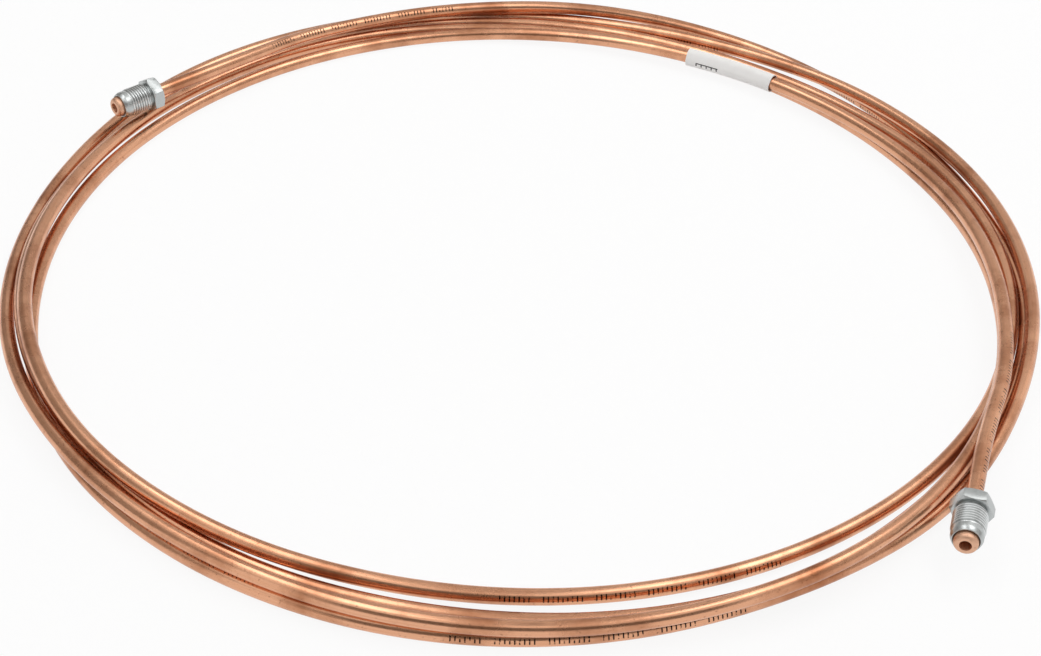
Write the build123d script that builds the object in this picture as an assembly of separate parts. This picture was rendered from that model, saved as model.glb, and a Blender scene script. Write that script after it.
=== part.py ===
"""Copper tube coil: one length of brake tube wound in a loose flat ring of
about four and a half turns, a flare and a screwed tube nut on each end and a
paper label sleeve near one of them. Millimetres, +Z up, floor at z = 0, the
middle of the ring at the origin. The tube winds clockwise seen from above."""
import math
import os

from build123d import *

# Tube stock
tube_d = 4.75
wall = 0.70

# How the tube lies. Corners stand every step_deg clockwise from +X. Each has
# a place outward from ring_radius and a height above the floor, both counted
# in tube diameters.
ring_radius = 162.7
step_deg = 20
first_deg = 240
out_shares = (
    # the first strand, over the top of the others and down to the outside
    0.20, 0.90, 2.45, 3.00, 1.67, 0.63,
    # first full turn
    0.95, 0.35, -0.20, 0.30, -0.08, -0.42, -0.35, -0.40, -0.12,
    -0.05, 0.15, 1.50, 1.77, 1.14, 0.40, -0.30, -0.40, -0.20,
    # second turn, innermost at the front
    0.00, -0.70, -1.38, -1.85, -2.00, -1.85, -0.90, -0.10, -0.30,
    -0.70, -0.60, 0.35, 0.71, 0.08, -0.70, -1.35, -1.60, -1.48,
    # third turn, outermost at the back
    -1.50, -0.57, 0.40, 1.60, 1.32, 1.30, 0.86, 0.75, 0.95,
    0.90, 1.25, 2.50, 2.83, 2.30, 1.56, 0.90, 1.05, 1.39,
    # fourth turn, from outermost at the front to innermost at the back
    1.10, 0.75, 1.05, 1.10, 0.98, 1.21, 1.03, 0.66, -0.40,
    -1.05, -1.28, -1.33, -1.15, -0.99, -1.90, -2.50, -2.30, -1.76,
    # the last strand, over the others on its way out
    -1.70, -0.76,
)
up_shares = (
    1.80, 1.85, 1.40, 0.50, 0.50, 0.50,
    0.50, 0.50, 0.50, 0.50, 0.50, 0.50, 0.50, 1.30, 1.65,
    1.20, 0.50, 0.50, 0.50, 0.50, 0.50, 0.50, 0.70, 1.30,
    0.90, 0.50, 0.50, 0.50, 0.60, 0.80, 1.50, 2.35, 2.70,
    2.00, 1.35, 0.50, 0.50, 0.50, 0.50, 0.50, 0.50, 0.50,
    1.42, 1.72, 1.75, 2.40, 1.50, 1.55, 1.55, 1.60, 1.15,
    0.50, 0.50, 0.50, 0.50, 0.50, 0.50, 1.00, 1.55, 1.50,
    1.53, 1.50, 0.70, 1.30, 0.50, 0.50, 0.50, 0.50, 0.50,
    0.50, 0.50, 0.50, 0.50, 0.50, 1.00, 1.30, 1.40, 1.55,
    2.55, 2.85,
)

# The straight ends: the flare's tip and the knee behind it, each as an angle
# and a place outward and up in tube diameters.
start_tip_deg, start_tip_out_share, start_tip_up_share = 206.6, 0.20, 2.75
start_knee_deg, start_knee_out_share, start_knee_up_share = 224.8, -1.79, 2.65
end_knee_deg, end_knee_out_share, end_knee_up_share = 33.7, 0.04, 2.65
end_tip_deg, end_tip_out_share, end_tip_up_share = 48.0, 4.24, 2.65
end_straight = 23.5

# Flare on each end, measured back from its tip
flare_d = 7.3
flare_round = 1.4
flare_rim_back = 2.6
bore_depth = 22.0
bore_chamfer = 0.25

# Tube nut: hexagon, neck, M10 x 1 thread and a plain tapered nose
nut_back = 2.2
nose_length = 3.0
nose_d = 9.4
nose_taper = 0.5
nose_taper_length = 1.4
thread_d = 10.0
thread_length = 8.0
neck_d = 8.6
neck_length = 0.7
hex_flats = 11.0
hex_length = 4.2
hex_chamfer = 0.9
hex_chamfer_length = 0.5
nut_clearance = 0.15
recess_d = 7.8
start_nut_turn_deg = 30.0

# Label: a paper sleeve round the last turn, a loose fit and a little oval. Its
# place is a share of all the corners of the winding.
label_place_share = 0.9375
label_from_share = 0.19
label_to_share = 0.91
label_wall = 0.25
label_clearance = 0.10
label_slack = 1.35
label_lean_deg = 31.0


def corner(angle_deg, out_share, up_share):
    """Where a corner of the tube's path stands, set out far enough that the
    rounded path runs at the radius asked for."""
    angle = math.radians(-angle_deg)
    radius = (ring_radius + out_share * tube_d) / math.cos(math.radians(step_deg / 2))
    return Vector(radius * math.cos(angle), radius * math.sin(angle), up_share * tube_d)


def bend_radius(before, here, after, first_run, last_run):
    """The bend at a corner: nearly half of its shorter run on either side,
    less what has to stay straight at the two ends of the tube."""
    run_in = before - here
    run_out = after - here
    turn = math.radians(180 - run_in.get_angle(run_out))
    half_in = run_in.length - end_straight if first_run else run_in.length * 0.49
    half_out = run_out.length - end_straight if last_run else run_out.length * 0.49
    return min(half_in, half_out) / math.tan(turn / 2)


def turned(outline):
    """A solid turned about Z from a list of radius and height pairs."""
    return revolve(Plane.XZ * make_face(Polyline(*outline, close=True)), Axis.Z)


def end_plane(tip, knee):
    """The frame of an end: origin on the flare's tip, Z straight out of it."""
    outward = (tip - knee).normalized()
    return Plane(origin=tip, x_dir=outward.cross(Vector(0, 0, 1)), z_dir=outward)


# Path of the tube
corners = [corner(start_tip_deg, start_tip_out_share, start_tip_up_share)]
corners.append(corner(start_knee_deg, start_knee_out_share, start_knee_up_share))
first_station = len(corners)
for station, (out_share, up_share) in enumerate(zip(out_shares, up_shares)):
    corners.append(corner(first_deg + station * step_deg, out_share, up_share))
corners.append(corner(end_knee_deg, end_knee_out_share, end_knee_up_share))
corners.append(corner(end_tip_deg, end_tip_out_share, end_tip_up_share))

last = len(corners) - 1
bends = []
for place in range(1, last):
    before, here, after = corners[place - 1], corners[place], corners[place + 1]
    bends.append(bend_radius(before, here, after, place == 1, place == last - 1))
path = FilletPolyline(*corners, radius=bends)
ends = (end_plane(corners[0], corners[1]), end_plane(corners[last], corners[last - 1]))

# Tube with its flares. The bore is run in from each end as far as the straight
# goes; between them the tube stands solid.
tube_r = tube_d / 2
bore_r = tube_r - wall
flare_r = flare_d / 2
flare_cone = flare_r - tube_r
flare_back = flare_rim_back + flare_cone
flare = turned((
    (0, -flare_back),
    (tube_r, -flare_back),
    (flare_r, -flare_rim_back),
    (flare_r, 0),
    (0, 0),
))
flare = fillet(flare.edges().group_by(Axis.Z)[-1], flare_round)
bore = turned((
    (0, 0),
    (bore_r + bore_chamfer, 0),
    (bore_r, -bore_chamfer),
    (bore_r, -bore_depth),
    (0, -bore_depth),
))

section = Plane(path @ 0, z_dir=path % 0) * Circle(tube_r)
tube = sweep(section, path=path.wire())
for plane in ends:
    tube = tube + plane * flare
for plane in ends:
    tube = tube - plane * bore

# Tube nut, its nose towards the tip
thread_start = nut_back + nose_length
neck_start = thread_start + thread_length
hex_start = neck_start + neck_length
nut_end = hex_start + hex_length
nose_r = nose_d / 2
nut_outline = (
    (0, -nut_back),
    (nose_r - nose_taper, -nut_back),
    (nose_r, -nut_back - nose_taper_length),
    (nose_r, -thread_start),
    (thread_d / 2, -thread_start - (thread_d - nose_d) / 2),
    (thread_d / 2, -neck_start + (thread_d - neck_d) / 4),
    (neck_d / 2, -neck_start),
    (neck_d / 2, -hex_start),
    (0, -hex_start),
)
hexagon = extrude(RegularPolygon(hex_flats / 2, 6, major_radius=False), hex_length)
hexagon = Pos(0, 0, -nut_end) * hexagon
corner_r = hex_flats / 2 / math.cos(math.radians(30))
hex_blank = turned((
    (0, -nut_end),
    (corner_r - hex_chamfer, -nut_end),
    (corner_r, -nut_end + hex_chamfer_length),
    (corner_r, -hex_start - hex_chamfer_length),
    (corner_r - hex_chamfer, -hex_start),
    (0, -hex_start),
))
nut_bore_r = tube_r + nut_clearance
recess_r = recess_d / 2
seat_bottom = flare_back
seat_top = seat_bottom - (recess_r - nut_bore_r)
nut_bore = turned((
    (0, 0),
    (recess_r, 0),
    (recess_r, -seat_top),
    (nut_bore_r, -seat_bottom),
    (nut_bore_r, -nut_end - hex_length),
    (0, -nut_end - hex_length),
))
nut = turned(nut_outline) + (hexagon & hex_blank) - nut_bore

# Label sleeve, an oval paper wrap along the bend at its station
label_corner = corners[first_station + round(label_place_share * len(out_shares))]
label_bends = sorted(path.edges(), key=lambda edge: (edge @ 0.5 - label_corner).length)
label_path = label_bends[0].trim(label_from_share, label_to_share)
along = label_path % 0
inward = Vector(-(label_path @ 0).X, -(label_path @ 0).Y, 0).normalized()
lean = math.radians(label_lean_deg)
tall = Vector(0, 0, math.cos(lean)) - inward * math.sin(lean)
label_plane = Plane(origin=label_path @ 0, x_dir=tall, z_dir=along)
label_inside_d = tube_d + 2 * label_clearance
label_outside_d = label_inside_d + 2 * label_wall
label_outside = SlotOverall(label_outside_d + label_slack, label_outside_d)
label_inside = SlotOverall(label_inside_d + label_slack, label_inside_d)
label = sweep(label_plane * (label_outside - label_inside), path=label_path)

# Each piece on its own, the middle of the whole coil's footprint at the origin
pieces = {
    "copper_tube": tube,
    "tube_nut_start": ends[0] * Rot(0, 0, start_nut_turn_deg) * nut,
    "tube_nut_end": ends[1] * nut,
    "label_sleeve": label,
}
footprint = Compound(list(pieces.values())).bounding_box().center()
os.makedirs("parts", exist_ok=True)
for name, piece in pieces.items():
    export_step(Pos(-footprint.X, -footprint.Y, 0) * piece, f"parts/{name}.step")
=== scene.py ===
"""A loose flat coil of copper brake tube, about four and a half turns, with a
flare and a zinc plated tube nut on each end and a white label sleeve."""
import math

import bpy
from mathutils import Matrix, Quaternion, Vector


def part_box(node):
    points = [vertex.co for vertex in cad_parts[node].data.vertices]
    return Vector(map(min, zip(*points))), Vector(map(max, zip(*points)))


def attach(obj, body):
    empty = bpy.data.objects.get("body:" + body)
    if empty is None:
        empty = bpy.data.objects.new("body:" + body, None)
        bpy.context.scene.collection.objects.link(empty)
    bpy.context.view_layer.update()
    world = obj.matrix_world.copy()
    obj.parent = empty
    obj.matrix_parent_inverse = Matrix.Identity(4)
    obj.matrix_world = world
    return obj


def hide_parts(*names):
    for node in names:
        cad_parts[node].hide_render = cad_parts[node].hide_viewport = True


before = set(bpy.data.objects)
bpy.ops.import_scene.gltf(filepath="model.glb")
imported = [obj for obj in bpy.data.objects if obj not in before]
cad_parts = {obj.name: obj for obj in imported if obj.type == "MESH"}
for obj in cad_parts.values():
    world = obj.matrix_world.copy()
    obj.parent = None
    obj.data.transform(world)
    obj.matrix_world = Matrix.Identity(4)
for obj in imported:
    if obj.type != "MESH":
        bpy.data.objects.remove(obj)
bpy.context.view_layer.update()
bpy.ops.object.select_all(action="DESELECT")


# The copper tube. Drawn copper, 4.75 mm across, wound by hand into a ring and
# left loose, so its turns wander, cross and climb over each other. Both ends
# run straight into their nuts.
tube_radius = 0.00475 / 2
ring_radius = 0.1627
step_deg = 20
first_deg = 240
out_shares = (
    0.20, 0.90, 2.45, 3.00, 1.67, 0.63,
    0.95, 0.35, -0.20, 0.30, -0.08, -0.42, -0.35, -0.40, -0.12,
    -0.05, 0.15, 1.50, 1.77, 1.14, 0.40, -0.30, -0.40, -0.20,
    0.00, -0.70, -1.38, -1.85, -2.00, -1.85, -0.90, -0.10, -0.30,
    -0.70, -0.60, 0.35, 0.71, 0.08, -0.70, -1.35, -1.60, -1.48,
    -1.50, -0.57, 0.40, 1.60, 1.32, 1.30, 0.86, 0.75, 0.95,
    0.90, 1.25, 2.50, 2.83, 2.30, 1.56, 0.90, 1.05, 1.39,
    1.10, 0.75, 1.05, 1.10, 0.98, 1.21, 1.03, 0.66, -0.40,
    -1.05, -1.28, -1.33, -1.15, -0.99, -1.90, -2.50, -2.30, -1.76,
    -1.70, -0.76,
)
up_shares = (
    1.80, 1.85, 1.40, 0.50, 0.50, 0.50,
    0.50, 0.50, 0.50, 0.50, 0.50, 0.50, 0.50, 1.30, 1.65,
    1.20, 0.50, 0.50, 0.50, 0.50, 0.50, 0.50, 0.70, 1.30,
    0.90, 0.50, 0.50, 0.50, 0.60, 0.80, 1.50, 2.35, 2.70,
    2.00, 1.35, 0.50, 0.50, 0.50, 0.50, 0.50, 0.50, 0.50,
    1.42, 1.72, 1.75, 2.40, 1.50, 1.55, 1.55, 1.60, 1.15,
    0.50, 0.50, 0.50, 0.50, 0.50, 0.50, 1.00, 1.55, 1.50,
    1.53, 1.50, 0.70, 1.30, 0.50, 0.50, 0.50, 0.50, 0.50,
    0.50, 0.50, 0.50, 0.50, 0.50, 1.00, 1.30, 1.40, 1.55,
    2.55, 2.85,
)


def corner(angle_deg, out_share, up_share):
    """A corner of the tube's route, counted in tube diameters out and up."""
    angle = math.radians(-angle_deg)
    radius = ring_radius + out_share * 2 * tube_radius
    radius /= math.cos(math.radians(step_deg / 2))
    height = up_share * 2 * tube_radius
    return Vector((radius * math.cos(angle), radius * math.sin(angle), height))


route = [corner(206.6, 0.20, 2.75), corner(224.8, -1.79, 2.65)]
for station, (out_share, up_share) in enumerate(zip(out_shares, up_shares)):
    route.append(corner(first_deg + station * step_deg, out_share, up_share))
route += [corner(33.7, 0.04, 2.65), corner(48.0, 4.24, 2.65)]
start_tip, start_knee, end_knee, end_tip = route[0], route[1], route[-2], route[-1]
start_out = (start_tip - start_knee).normalized()
end_out = (end_tip - end_knee).normalized()

# the ends stay straight through their nuts
nut_straight = 0.024
tube_end_back = 0.0032
route[0] = start_tip - start_out * tube_end_back
route[-1] = end_tip - end_out * tube_end_back
route.insert(1, start_tip - start_out * nut_straight)
route.insert(-1, end_tip - end_out * nut_straight)

tube_line = bpy.data.curves.new("tube_route", "CURVE")
tube_line.dimensions = "3D"
tube_line.twist_mode = "Z_UP"
line = tube_line.splines.new("NURBS")
line.points.add(len(route) - 1)
for point, place in zip(line.points, route):
    point.co = (*place, 1)
line.order_u = 3
line.use_endpoint_u = True
line.resolution_u = 14
tube_route = bpy.data.objects.new("tube_route", tube_line)
bpy.context.collection.objects.link(tube_route)

# the coil's footprint is centred as the solids are
run = [vertex.co.copy() for vertex in bpy.data.meshes.new_from_object(tube_route).vertices]
low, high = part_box("copper_tube")
footprint = Vector((
    (low.x + high.x - min(p.x for p in run) - max(p.x for p in run)) / 2,
    (low.y + high.y - min(p.y for p in run) - max(p.y for p in run)) / 2,
    0,
))
tube_line.transform(Matrix.Translation(footprint))
run = [place + footprint for place in run]

tube = tube_route.copy()
tube.data = tube_line.copy()
tube.name = "copper_tube_drawn"
bpy.context.collection.objects.link(tube)
tube.data.bevel_depth = tube_radius
tube.data.bevel_resolution = 14
tube_sides = 32
bpy.context.view_layer.objects.active = tube
tube.select_set(True)
bpy.ops.object.convert(target="MESH")
bpy.ops.object.shade_smooth()
tube = bpy.context.object

# unrolled, the tube is read along its true length and once round
lengths = [0.0]
for a, b in zip(run, run[1:]):
    lengths.append(lengths[-1] + (b - a).length)
tube_length = lengths[-1]
for corner_uv in tube.data.uv_layers.active.data:
    ring = round(corner_uv.uv.x * (len(run) - 1))
    corner_uv.uv.x = lengths[ring] / tube_length


# The flares. Each end of the tube is pressed into a round bubble with a 45
# degree back that the nut pulls on, and its bore stays open.
def turned(name, profile, sides):
    """A ring at the first radius and height, extruded along the rest as on a lathe."""
    bpy.ops.object.select_all(action="DESELECT")
    radius, height = profile[0]
    bpy.ops.mesh.primitive_circle_add(vertices=sides, radius=radius, location=(0, 0, height))
    piece = bpy.context.object
    piece.name = name
    bpy.ops.object.transform_apply(location=True, rotation=True, scale=True)
    bpy.ops.object.mode_set(mode="EDIT")
    bpy.ops.mesh.select_all(action="SELECT")
    for next_radius, next_height in profile[1:]:
        rise = (0, 0, next_height - height)
        bpy.ops.mesh.extrude_region_move(TRANSFORM_OT_translate={"value": rise})
        grow = next_radius / radius
        bpy.ops.transform.resize(value=(grow, grow, 1), center_override=(0, 0, 0))
        radius, height = next_radius, next_height
    bpy.ops.object.mode_set(mode="OBJECT")
    return piece


merge_reach = 0.000002


def closed(piece):
    """Merges a piece's seams and points its faces outwards."""
    bpy.ops.object.select_all(action="DESELECT")
    bpy.context.view_layer.objects.active = piece
    piece.select_set(True)
    bpy.ops.object.mode_set(mode="EDIT")
    bpy.ops.mesh.select_all(action="SELECT")
    bpy.ops.mesh.remove_doubles(threshold=merge_reach)
    bpy.ops.mesh.normals_make_consistent(inside=False)
    bpy.ops.object.mode_set(mode="OBJECT")


flare_radius = 0.00350
flare_round = 0.0013
flare_rim = -0.0026
flare_back = flare_rim - (flare_radius - tube_radius)
flare_overlap = 0.0004
flare_sides, flare_steps, flare_crease_deg = 48, 8, 40
edge_break = 0.0001
bore_radius = 0.001675
bore_end = -0.022
bore_mouth, bore_lip, bore_lip_depth = 0.00025, 0.00008, 0.0003
bore_floor_share = 0.05
flare_profile = [
    (tube_radius, flare_back - flare_overlap),
    (tube_radius, flare_back),
    (flare_radius - edge_break, flare_rim - edge_break),
    (flare_radius, flare_rim + edge_break),
]
for turn in range(flare_steps + 1):
    lean = math.radians(90 * turn / flare_steps)
    flare_profile.append((
        flare_radius - flare_round * (1 - math.cos(lean)),
        flare_round * (math.sin(lean) - 1),
    ))
flare_profile += [
    (bore_radius + bore_mouth, 0),
    (bore_radius + bore_lip, -bore_lip),
    (bore_radius, -bore_lip_depth),
    (bore_radius, bore_end),
    (bore_radius * bore_floor_share, bore_end),
]


def end_frame(tip, out):
    """Stands a piece on an end of the tube, its Z straight out of the tube."""
    across = out.cross(Vector((0, 0, 1))).normalized()
    turn = Matrix((across, out.cross(across), out)).transposed()
    return Matrix.Translation(tip + footprint) @ turn.to_4x4()


end_frames = (end_frame(start_tip, start_out), end_frame(end_tip, end_out))
flares = []
for place in end_frames:
    flare = turned("flare", flare_profile, flare_sides)
    closed(flare)
    pressed = flare.data.attributes.new("pressed", "FLOAT", "POINT")
    for vertex in flare.data.vertices:
        pressed.data[vertex.index].value = vertex.co.z > flare_back
    flare.data.transform(place)
    bpy.ops.object.shade_smooth_by_angle(angle=math.radians(flare_crease_deg))
    flares.append(flare)

bpy.ops.object.select_all(action="DESELECT")
for piece in (*flares, tube):
    piece.select_set(True)
bpy.context.view_layer.objects.active = tube
bpy.ops.object.join()


def linear(hex_colour):
    """An sRGB hex value as the linear colour the shader takes."""
    parts = [int(hex_colour[k:k + 2], 16) / 255 for k in (1, 3, 5)]
    levels = (p / 12.92 if p <= 0.04045 else ((p + 0.055) / 1.055) ** 2.4 for p in parts)
    return (*levels, 1)


def add(tree, kind, inputs=(), **settings):
    """Adds a node with its settings; an input is a value or another node's output."""
    node = tree.nodes.new(kind)
    for name, value in settings.items():
        setattr(node, name, value)
    for name, value in dict(inputs).items():
        if isinstance(value, bpy.types.NodeSocket):
            tree.links.new(value, node.inputs[name])
        else:
            node.inputs[name].default_value = value
    return node


# Drawn copper: bright and pinkish orange, a fine grain along the tube from the
# die, brown patches of tarnish, a row of black ink-jet ticks every 232 mm, and
# the pressed flares paler and duller.
copper = bpy.data.materials.new("drawn_copper")
copper.use_nodes = True
tree = copper.node_tree
shader = tree.nodes["Principled BSDF"]
shader.inputs["Metallic"].default_value = 1.0

grain_length, grain_lines = 0.030, 26.0
patch_size, speck_size = 0.024, 0.0011
where = add(tree, "ShaderNodeTexCoord")
along = add(tree, "ShaderNodeSeparateXYZ", {"Vector": where.outputs["UV"]})
grain_places = add(tree, "ShaderNodeMapping", {
    "Vector": where.outputs["UV"], "Scale": (tube_length / grain_length, grain_lines, 1.0)})
grain = add(tree, "ShaderNodeTexNoise", {
    "Vector": grain_places.outputs["Vector"], "Scale": 1.0, "Detail": 4.0, "Roughness": 0.6})
patches = add(tree, "ShaderNodeTexNoise", {
    "Vector": where.outputs["Object"], "Scale": 1 / patch_size, "Detail": 5.0, "Roughness": 0.6})
patch = add(tree, "ShaderNodeMapRange", {
    "Value": patches.outputs["Fac"], "From Min": 0.46, "From Max": 0.76})
pressed = add(tree, "ShaderNodeAttribute", attribute_name="pressed")
specks = add(tree, "ShaderNodeTexNoise", {
    "Vector": where.outputs["Object"], "Scale": 1 / speck_size, "Detail": 2.0})
speck = add(tree, "ShaderNodeMapRange", {
    "Value": specks.outputs["Fac"], "From Min": 0.64, "From Max": 0.76, "To Max": 0.45})
bare = add(tree, "ShaderNodeMix", {
    "Factor": grain.outputs["Fac"],
    "A": linear("#d49771"), "B": linear("#edb796")}, data_type="RGBA")
stained = add(tree, "ShaderNodeMix", {
    "Factor": patch.outputs["Result"],
    "A": bare.outputs["Result"], "B": linear("#9d5f3c")}, data_type="RGBA")
fresh = add(tree, "ShaderNodeMix", {
    "Factor": pressed.outputs["Fac"],
    "A": stained.outputs["Result"], "B": linear("#e2b598")}, data_type="RGBA")
specked = add(tree, "ShaderNodeMix", {
    "Factor": speck.outputs["Result"],
    "A": fresh.outputs["Result"], "B": linear("#6d3f29")}, data_type="RGBA")

# the ink row starts 24 mm in and is 80 mm long, its strokes 1.3 mm apart in
# groups of nine with a gap after each; the tube twists along its length, so a
# row faces up, outwards, inwards or down, the first two rows come late and the
# last one early; along the tube, turn upwards from the outer side and slide are
# all shares
ink_period, ink_start, ink_length = 0.2319, 0.024, 0.080
stroke_pitch, stroke_width, stroke_height = 0.0013, 0.0004, 0.0018
group_strokes, group_gap = 11, 2
twist_shares = (
    (0.000, 0.38, -0.0094), (0.045, 0.38, -0.0094),
    (0.055, -0.45, -0.0094), (0.085, -0.45, -0.0094),
    (0.100, -0.20, 0.0), (0.320, -0.20, 0.0), (0.345, 0.07, 0.0), (0.385, 0.07, 0.0),
    (0.420, -0.20, 0.0), (0.680, -0.20, 0.0), (0.690, -0.46, 0.0), (0.725, -0.46, 0.0),
    (0.735, -0.20, 0.0), (0.750, -0.20, 0.0), (0.780, 0.06, 0.0), (0.830, 0.06, 0.0),
    (0.860, -0.20, 0.0), (0.935, -0.20, 0.0), (0.955, 0.12, 0.0155), (1.000, 0.12, 0.0155),
)
twist = add(tree, "ShaderNodeValToRGB", {"Fac": along.outputs["X"]})
while len(twist.color_ramp.elements) < len(twist_shares):
    twist.color_ramp.elements.new(0.5)
for element, shares in zip(twist.color_ramp.elements, twist_shares):
    length_share, turn_share, slide_share = shares
    element.position = length_share
    element.color = (turn_share + 0.5, slide_share + 0.5, 0, 1)
twisted = add(tree, "ShaderNodeSeparateColor", {"Color": twist.outputs["Color"]})
slid = add(tree, "ShaderNodeMath", {
    0: along.outputs["X"], 1: twisted.outputs["Green"]}, operation="ADD")
repeat = add(tree, "ShaderNodeMath", {
    0: slid.outputs["Value"], 1: tube_length / ink_period,
    2: -(ink_start + tube_length / 2) / ink_period}, operation="MULTIPLY_ADD")
row = add(tree, "ShaderNodeMath", {0: repeat.outputs["Value"]}, operation="FRACT")
in_row = add(tree, "ShaderNodeMath", {
    0: row.outputs["Value"], 1: ink_length / ink_period}, operation="LESS_THAN")
strokes = add(tree, "ShaderNodeMath", {
    0: row.outputs["Value"], 1: ink_period / stroke_pitch}, operation="MULTIPLY")
stroke = add(tree, "ShaderNodeMath", {0: strokes.outputs["Value"]}, operation="FRACT")
on_stroke = add(tree, "ShaderNodeMath", {
    0: stroke.outputs["Value"], 1: stroke_width / stroke_pitch}, operation="LESS_THAN")
outer_side_share = 1 / tube_sides
facing = add(tree, "ShaderNodeMath", {
    0: twisted.outputs["Red"], 1: -0.5 - outer_side_share}, operation="ADD")
from_row = add(tree, "ShaderNodeMath", {
    0: along.outputs["Y"], 1: facing.outputs["Value"]}, operation="SUBTRACT")
off_row = add(tree, "ShaderNodeMath", {
    0: from_row.outputs["Value"], 1: 0.5, 2: -0.5}, operation="WRAP")
in_height = add(tree, "ShaderNodeMath", {
    0: off_row.outputs["Value"], 1: 0.0,
    2: stroke_height / 2 / (2 * math.pi * tube_radius)}, operation="COMPARE")
groups = add(tree, "ShaderNodeMath", {
    0: strokes.outputs["Value"], 1: 1 / group_strokes}, operation="MULTIPLY")
group = add(tree, "ShaderNodeMath", {0: groups.outputs["Value"]}, operation="FRACT")
in_group = add(tree, "ShaderNodeMath", {
    0: group.outputs["Value"], 1: 1 - group_gap / group_strokes}, operation="LESS_THAN")
worn = add(tree, "ShaderNodeMapRange", {
    "Value": specks.outputs["Fac"], "From Min": 0.36, "From Max": 0.46})
ink = in_row.outputs["Value"]
for limit in (on_stroke, in_group, in_height, worn):
    both = add(tree, "ShaderNodeMath", {0: ink, 1: limit.outputs[0]}, operation="MULTIPLY")
    ink = both.outputs["Value"]
inked = add(tree, "ShaderNodeMix", {
    "Factor": ink, "A": specked.outputs["Result"], "B": linear("#2a201c")}, data_type="RGBA")
tree.links.new(inked.outputs["Result"], shader.inputs["Base Color"])
gloss = add(tree, "ShaderNodeMapRange", {
    "Value": patches.outputs["Fac"], "From Min": 0.3, "From Max": 0.7,
    "To Min": 0.20, "To Max": 0.32})
pressed_roughness = 0.25
matt = add(tree, "ShaderNodeMath", {
    0: pressed.outputs["Fac"], 1: pressed_roughness, 2: gloss.outputs["Result"]},
    operation="MULTIPLY_ADD")
tree.links.new(matt.outputs["Value"], shader.inputs["Roughness"])
ridges = add(tree, "ShaderNodeBump", {
    "Height": grain.outputs["Fac"], "Strength": 0.12, "Distance": 0.0002})
tree.links.new(ridges.outputs["Normal"], shader.inputs["Normal"])
tube.data.materials.clear()
tube.data.materials.append(copper)
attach(tube, "root")
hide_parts("copper_tube")


# The tube nuts. Turned steel with an 11 mm hexagon, a rolled M10 x 1 thread
# and a plain nose, bright zinc plated, loose on the tube behind its flare.
nose_end = -0.0022
thread_low, thread_high = -0.0132, -0.0052
hex_front, hex_back = -0.0139, -0.0181
hex_corner = 0.011 / math.sqrt(3)
nut_bore = tube_radius + 0.00015
recess = 0.0039
nose_face, nose_radius, neck_radius = 0.00412, 0.00470, 0.0043
nose_cone, neck_depth = 0.0015, 0.0006
nose_ease = (0.00002, 0.0002)
thread_crest, thread_root, thread_core = 0.00498, 0.00462, 0.00454
thread_turns, thread_steps = 9, 48
crest_share, runout_share = 0.06, 0.8
thread_sink = 0.0001
pitch = 0.001
hex_chamfer, hex_chamfer_depth, hex_clear = 0.0009, 0.0005, 0.00002
hex_edge, hex_edge_deg = 0.00012, 25
nut_sides, nut_crease_deg = 64, 30
nut_profile = [
    (recess, nose_end),
    (nose_face, nose_end),
    (nose_face + edge_break, nose_end - edge_break),
    (nose_radius - nose_ease[0], nose_end - nose_cone + nose_ease[1]),
    (nose_radius, nose_end - nose_cone),
    (nose_radius, thread_high + edge_break),
    (thread_root, thread_high),
    (thread_core, thread_high - 2 * edge_break),
    (thread_core, thread_low),
    (neck_radius, thread_low - edge_break),
    (neck_radius, hex_front - neck_depth),
    (nut_bore, hex_front - neck_depth),
    (nut_bore, flare_back),
    (recess, flare_back + recess - nut_bore),
    (recess, nose_end),
]


def applied(piece, kind, **settings):
    """Puts a modifier on a piece and applies it."""
    bpy.ops.object.select_all(action="DESELECT")
    bpy.context.view_layer.objects.active = piece
    piece.select_set(True)
    modifier = piece.modifiers.new(kind.lower(), kind)
    for name, value in settings.items():
        setattr(modifier, name, value)
    bpy.ops.object.modifier_apply(modifier=modifier.name)


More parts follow.
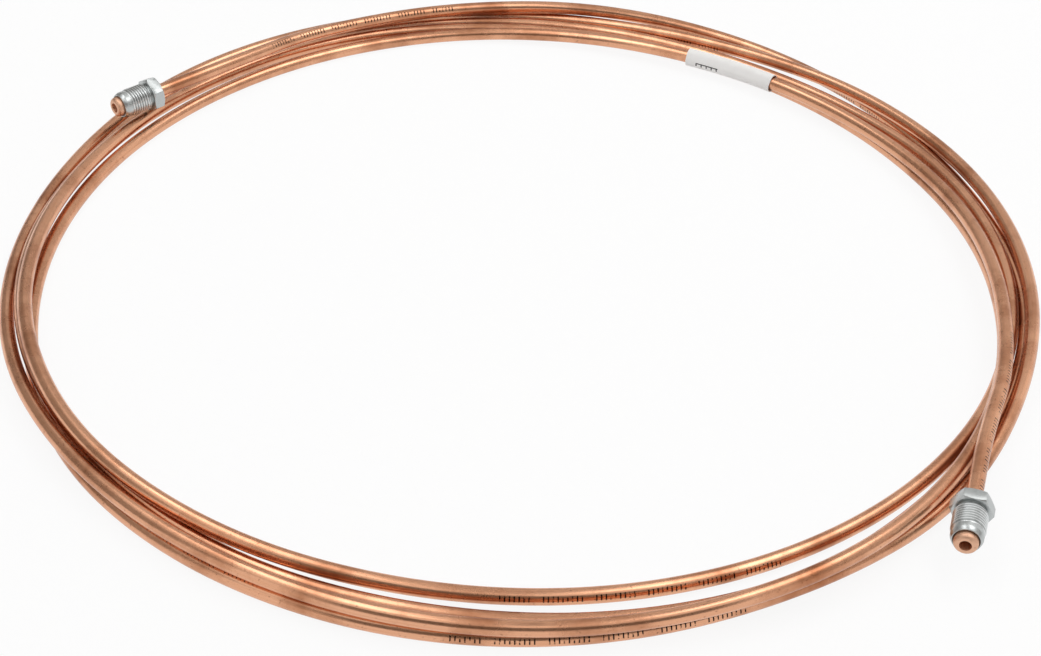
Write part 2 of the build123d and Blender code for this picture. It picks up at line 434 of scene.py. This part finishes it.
def tube_nut(name, place, turn_deg):
    """One nut: its turned body, its hexagon cut from bar and its rolled thread."""
    body = turned(name, nut_profile, nut_sides)
    closed(body)

    bpy.ops.object.select_all(action="DESELECT")
    bpy.ops.mesh.primitive_cylinder_add(
        vertices=6, radius=hex_corner, depth=hex_front - hex_back,
        location=(0, 0, (hex_front + hex_back) / 2),
        rotation=(0, 0, math.radians(90 + turn_deg)))
    hexagon = bpy.context.object
    bpy.ops.object.transform_apply(location=True, rotation=True, scale=True)
    blank = turned("hex_blank", [
        (nut_bore, hex_front),
        (hex_corner - hex_chamfer, hex_front),
        (hex_corner + hex_clear, hex_front - hex_chamfer_depth),
        (hex_corner + hex_clear, hex_back + hex_chamfer_depth),
        (hex_corner - hex_chamfer, hex_back),
        (nut_bore, hex_back),
        (nut_bore, hex_front),
    ], nut_sides)
    closed(blank)
    applied(hexagon, "BOOLEAN", operation="INTERSECT", object=blank, solver="EXACT")
    bpy.data.objects.remove(blank)
    applied(hexagon, "BEVEL", width=hex_edge, segments=2, limit_method="ANGLE",
            angle_limit=math.radians(hex_edge_deg))

    tooth = bpy.data.meshes.new("thread")
    tooth.from_pydata([
        (thread_root, 0, thread_low - pitch / 2),
        (thread_crest, 0, thread_low - pitch * crest_share),
        (thread_crest, 0, thread_low + pitch * crest_share),
        (thread_root, 0, thread_low + pitch / 2),
    ], [(0, 1), (1, 2), (2, 3)], [])
    thread = bpy.data.objects.new("thread", tooth)
    bpy.context.collection.objects.link(thread)
    applied(thread, "SCREW", angle=math.radians(360), screw_offset=pitch,
            iterations=thread_turns, steps=thread_steps, render_steps=thread_steps,
            use_merge_vertices=True, merge_threshold=merge_reach)
    # the thread's depth, from root to crest, drives its painted shade in the roots and painted
    # highlight on the crests
    thread_light = thread.data.attributes.new("thread_painted_light", "FLOAT", "POINT")
    for vertex in thread.data.vertices:
        reach = math.hypot(vertex.co.x, vertex.co.y)
        depth_share = (reach - thread_root) / (thread_crest - thread_root)
        thread_light.data[vertex.index].value = depth_share * 2 - 1
        room = min(vertex.co.z - thread_low, thread_high - vertex.co.z) / (pitch * runout_share)
        sunk = thread_core - thread_sink
        limit = sunk + (thread_crest - sunk) * min(max(room, 0), 1)
        vertex.co.x *= min(reach, limit) / reach
        vertex.co.y *= min(reach, limit) / reach
    closed(thread)

    bpy.ops.object.select_all(action="DESELECT")
    for piece in (hexagon, thread, body):
        piece.select_set(True)
    bpy.context.view_layer.objects.active = body
    bpy.ops.object.join()
    body.data.transform(place)
    bpy.ops.object.shade_smooth_by_angle(angle=math.radians(nut_crease_deg))
    return body


# Bright zinc plate: pale blue grey, satin bright with a faint milky bloom, the thread
# given a painted highlight on its crests and a painted shade in its roots.
zinc = bpy.data.materials.new("bright_zinc_plate")
zinc.use_nodes = True
tree = zinc.node_tree
shader = tree.nodes["Principled BSDF"]
shader.inputs["Metallic"].default_value = 1.0
bloom_size, pit_size = 0.003, 0.0004
where = add(tree, "ShaderNodeTexCoord")
bloom = add(tree, "ShaderNodeTexNoise", {
    "Vector": where.outputs["Object"], "Scale": 1 / bloom_size, "Detail": 4.0, "Roughness": 0.6})
plate = add(tree, "ShaderNodeMix", {
    "Factor": bloom.outputs["Fac"],
    "A": linear("#b0b4b4"), "B": linear("#c8cbca")}, data_type="RGBA")
thread_light = add(tree, "ShaderNodeAttribute", attribute_name="thread_painted_light")
# painted shade: the thread roots are darkened in the colour
root = add(tree, "ShaderNodeMapRange", {
    "Value": thread_light.outputs["Fac"], "From Min": 0.0, "From Max": -1.0, "To Max": 0.35})
# painted highlight: the thread crests are brightened in the colour
crest = add(tree, "ShaderNodeMapRange", {
    "Value": thread_light.outputs["Fac"], "From Min": 0.0, "From Max": 1.0, "To Max": 0.9})
root_shaded = add(tree, "ShaderNodeMix", {
    "Factor": root.outputs["Result"],
    "A": plate.outputs["Result"], "B": linear("#4d5051")}, data_type="RGBA")
crest_highlighted = add(tree, "ShaderNodeMix", {
    "Factor": crest.outputs["Result"],
    "A": root_shaded.outputs["Result"], "B": linear("#f1f3f3")}, data_type="RGBA")
tree.links.new(crest_highlighted.outputs["Result"], shader.inputs["Base Color"])
gloss = add(tree, "ShaderNodeMapRange", {
    "Value": bloom.outputs["Fac"], "From Min": 0.3, "From Max": 0.7,
    "To Min": 0.26, "To Max": 0.40})
tree.links.new(gloss.outputs["Result"], shader.inputs["Roughness"])
pits = add(tree, "ShaderNodeTexNoise", {
    "Vector": where.outputs["Object"], "Scale": 1 / pit_size, "Detail": 2.0})
rough = add(tree, "ShaderNodeBump", {
    "Height": pits.outputs["Fac"], "Strength": 0.08, "Distance": 0.0001})
tree.links.new(rough.outputs["Normal"], shader.inputs["Normal"])

node_names = ("tube_nut_start", "tube_nut_end")
hex_turns_deg = (30, 0)
for node_name, place, turn_deg in zip(node_names, end_frames, hex_turns_deg):
    nut = tube_nut(node_name + "_plated", place, turn_deg)
    nut.data.materials.clear()
    nut.data.materials.append(zinc)
    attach(nut, "root")
    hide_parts(node_name)


# The label. A strip of white paper wrapped round the last turn and stuck into
# a loose, slightly oval sleeve that leans outwards, with a short printed scale.
label_length = 0.0367
label_radius = 0.002725
label_slack = 0.00135
label_wall = 0.00025
label_lean = math.radians(31)
label_sides, label_steps, label_crease_deg = 48, 24, 40

low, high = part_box("label_sleeve")
label_middle = (low + high) / 2
nearest = min(range(len(run)), key=lambda k: (run[k] - label_middle).length)
label_at = lengths[nearest]

bpy.ops.object.select_all(action="DESELECT")
bpy.ops.mesh.primitive_circle_add(
    vertices=label_sides, radius=label_radius, calc_uvs=False,
    location=(label_at - label_length / 2, 0, 0), rotation=(0, math.radians(90), 0))
label = bpy.context.object
label.name = "label_sleeve_paper"
bpy.ops.object.transform_apply(location=True, rotation=True, scale=True)
bpy.ops.object.mode_set(mode="EDIT")
bpy.ops.mesh.select_all(action="SELECT")
label_step = (label_length / label_steps, 0, 0)
for _ in range(label_steps):
    bpy.ops.mesh.extrude_region_move(TRANSFORM_OT_translate={"value": label_step})
bpy.ops.mesh.select_all(action="SELECT")
bpy.ops.mesh.normals_make_consistent(inside=False)
bpy.ops.object.mode_set(mode="OBJECT")

# unrolled, the paper is read along the tube and round it from the outer side
paper = label.data.uv_layers.new(name="paper")
tall = Vector((0, math.sin(label_lean), math.cos(label_lean)))
for loop in label.data.loops:
    place = label.data.vertices[loop.vertex_index].co
    round_share = math.atan2(place.z, place.y) / (2 * math.pi) % 1
    paper.data[loop.index].uv = ((place.x - label_at) / label_length + 0.5, round_share)
for vertex in label.data.vertices:
    across = Vector((0, vertex.co.y, vertex.co.z)).dot(tall)
    vertex.co += tall * math.copysign(label_slack / 2, across)
applied(label, "SOLIDIFY", thickness=label_wall, offset=-1)
applied(label, "CURVE", object=tube_route, deform_axis="POS_X")
closed(label)
bpy.ops.object.shade_smooth_by_angle(angle=math.radians(label_crease_deg))

# White label paper: matt, faintly grey, with a black printed scale.
white_paper = bpy.data.materials.new("white_label_paper")
white_paper.use_nodes = True
tree = white_paper.node_tree
shader = tree.nodes["Principled BSDF"]
shader.inputs["Roughness"].default_value = 0.6
where = add(tree, "ShaderNodeTexCoord")
sheet_place = add(tree, "ShaderNodeSeparateXYZ", {"Vector": where.outputs["UV"]})
tick_pitch, tick_width = 0.0022, 0.0005
scale_middle_share, scale_half_share = 0.25, 0.13
row_middle_share, row_half_share = 0.515, 0.035
line_half_share = 0.012
fibre_size = 0.0025
ticks = add(tree, "ShaderNodeMath", {
    0: sheet_place.outputs["X"], 1: label_length / tick_pitch}, operation="MULTIPLY")
tick = add(tree, "ShaderNodeMath", {0: ticks.outputs["Value"]}, operation="FRACT")
on_tick = add(tree, "ShaderNodeMath", {
    0: tick.outputs["Value"], 1: tick_width / tick_pitch}, operation="LESS_THAN")
in_scale = add(tree, "ShaderNodeMath", {
    0: sheet_place.outputs["X"], 1: scale_middle_share, 2: scale_half_share}, operation="COMPARE")
in_row = add(tree, "ShaderNodeMath", {
    0: sheet_place.outputs["Y"], 1: row_middle_share, 2: row_half_share}, operation="COMPARE")
on_line = add(tree, "ShaderNodeMath", {
    0: sheet_place.outputs["Y"], 1: row_middle_share - row_half_share, 2: line_half_share},
    operation="COMPARE")
drawn = add(tree, "ShaderNodeMath", {
    0: on_tick.outputs["Value"], 1: in_row.outputs["Value"]}, operation="MULTIPLY")
drawn = add(tree, "ShaderNodeMath", {
    0: drawn.outputs["Value"], 1: on_line.outputs["Value"]}, operation="MAXIMUM")
printed = add(tree, "ShaderNodeMath", {
    0: in_scale.outputs["Value"], 1: drawn.outputs["Value"]}, operation="MULTIPLY")
fibres = add(tree, "ShaderNodeTexNoise", {
    "Vector": where.outputs["Object"], "Scale": 1 / fibre_size, "Detail": 3.0})
blank = add(tree, "ShaderNodeMix", {
    "Factor": fibres.outputs["Fac"],
    "A": linear("#eeedeb"), "B": linear("#f6f5f4")}, data_type="RGBA")
marked = add(tree, "ShaderNodeMix", {
    "Factor": printed.outputs["Value"],
    "A": blank.outputs["Result"], "B": linear("#26262a")}, data_type="RGBA")
tree.links.new(marked.outputs["Result"], shader.inputs["Base Color"])
label.data.materials.append(white_paper)
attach(label, "root")
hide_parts("label_sleeve")


# The floor: a plain pale sheet that runs out of view, white to the camera and
# darkened only where the coil shades it.
def shown(tree):
    """One for rays from the camera, from gloss and through glass, else nought."""
    ray = add(tree, "ShaderNodeLightPath")
    seen = add(tree, "ShaderNodeMath", {
        0: ray.outputs["Is Camera Ray"], 1: ray.outputs["Is Glossy Ray"]}, operation="MAXIMUM")
    through = add(tree, "ShaderNodeMath", {
        0: seen.outputs["Value"], 1: ray.outputs["Is Transmission Ray"]}, operation="MAXIMUM")
    return through.outputs["Value"]


floor_size = 6.0
white_share = 0.9
bpy.ops.object.select_all(action="DESELECT")
bpy.ops.mesh.primitive_plane_add(size=floor_size)
floor = bpy.context.object
floor.name = "floor"
sheet = bpy.data.materials.new("matt_white_sheet")
sheet.use_nodes = True
tree = sheet.node_tree
shader = tree.nodes["Principled BSDF"]
shader.inputs["Base Color"].default_value = linear("#f4f4f4")
shader.inputs["Roughness"].default_value = 0.9
shader.inputs["Specular IOR Level"].default_value = 0.0
share = add(tree, "ShaderNodeMath", {0: shown(tree), 1: white_share}, operation="MULTIPLY")
white = add(tree, "ShaderNodeEmission", {"Strength": 1.0})
blend = add(tree, "ShaderNodeMixShader", {"Fac": share.outputs["Value"]})
tree.links.new(shader.outputs["BSDF"], blend.inputs[1])
tree.links.new(white.outputs["Emission"], blend.inputs[2])
tree.links.new(blend.outputs["Shader"], tree.nodes["Material Output"].inputs["Surface"])
floor.data.materials.append(sheet)

# The studio: white all round for the camera and the metal, soft light from a
# narrow box on the left and a wider one on the right, with a gap between them.
world = bpy.data.worlds.new("studio")
bpy.context.scene.world = world
world.use_nodes = True
tree = world.node_tree
room_level = 0.9
level = add(tree, "ShaderNodeMapRange", {"Value": shown(tree), "To Min": room_level, "To Max": 1.0})
tree.nodes["Background"].inputs["Color"].default_value = (1, 1, 1, 1)
tree.links.new(level.outputs["Result"], tree.nodes["Background"].inputs["Strength"])


def soft_box(name, place, width, depth, power):
    """A soft box that hangs flat over the coil."""
    lamp = bpy.data.lights.new(name, "AREA")
    lamp.shape = "RECTANGLE"
    lamp.size = width
    lamp.size_y = depth
    lamp.energy = power
    box = bpy.data.objects.new(name, lamp)
    box.location = place
    bpy.context.collection.objects.link(box)


def cloth_screen(name, place, width, height, colour):
    """A cloth on a frame that faces the coil, out of the camera's sight."""
    bpy.ops.object.select_all(action="DESELECT")
    bpy.ops.mesh.primitive_plane_add(size=1.0, location=place)
    screen = bpy.context.object
    screen.name = name
    screen.rotation_euler = (-Vector(place)).to_track_quat("Z", "Y").to_euler()
    screen.scale = (width, height, 1)
    screen.visible_camera = False
    cloth = bpy.data.materials.new(name + "_cloth")
    cloth.use_nodes = True
    shader = cloth.node_tree.nodes["Principled BSDF"]
    shader.inputs["Base Color"].default_value = linear(colour)
    shader.inputs["Roughness"].default_value = 0.9
    screen.data.materials.append(cloth)


# Grey and white screens give the bright metal something darker than the white
# room to show, the darkest one behind the camera and one in the boxes' gap.
cloth_screen("front_screen", (0, -1.0, 0.55), 1.5, 0.8, "#8f8a85")
cloth_screen("left_screen", (-1.1, 0.3, 0.55), 2.2, 1.1, "#c0bdba")
cloth_screen("back_screen", (0, 1.3, 0.8), 3.2, 1.9, "#f6f5f4")
cloth_screen("top_screen", (0.03, 0.1, 1.0), 0.4, 0.9, "#b8b4b0")
cloth_screen("right_screen", (1.2, -0.2, 0.5), 1.2, 1.0, "#e6e4e2")

soft_box("left_box", (-0.28, 0.1, 0.9), 0.30, 0.8, 1.55)
soft_box("right_box", (0.43, 0.1, 0.9), 0.48, 0.8, 2.5)

# The camera: a short telephoto lens over the front of the coil.
lens = bpy.data.cameras.new("camera")
lens.lens = 66.2
lens.sensor_width = 36.0
camera = bpy.data.objects.new("camera", lens)
bpy.context.collection.objects.link(camera)
eye = Vector((0, -0.5183, 0.3777))
pan, tilt, roll_deg = 0.00095, 0.0353, 1.90
sight = (Vector((0, 0, 2 * tube_radius)) - eye).normalized()
side = Vector((1, 0, 0))
sight = (sight + side * pan - side.cross(sight) * tilt).normalized()
level_turn = sight.to_track_quat("-Z", "Y")
camera.location = eye + footprint
camera.rotation_mode = "QUATERNION"
camera.rotation_quaternion = level_turn @ Quaternion((0, 0, 1), math.radians(roll_deg))
bpy.context.scene.camera = camera
bpy.context.scene.view_settings.view_transform = "Standard"

bpy.data.objects.remove(tube_route)
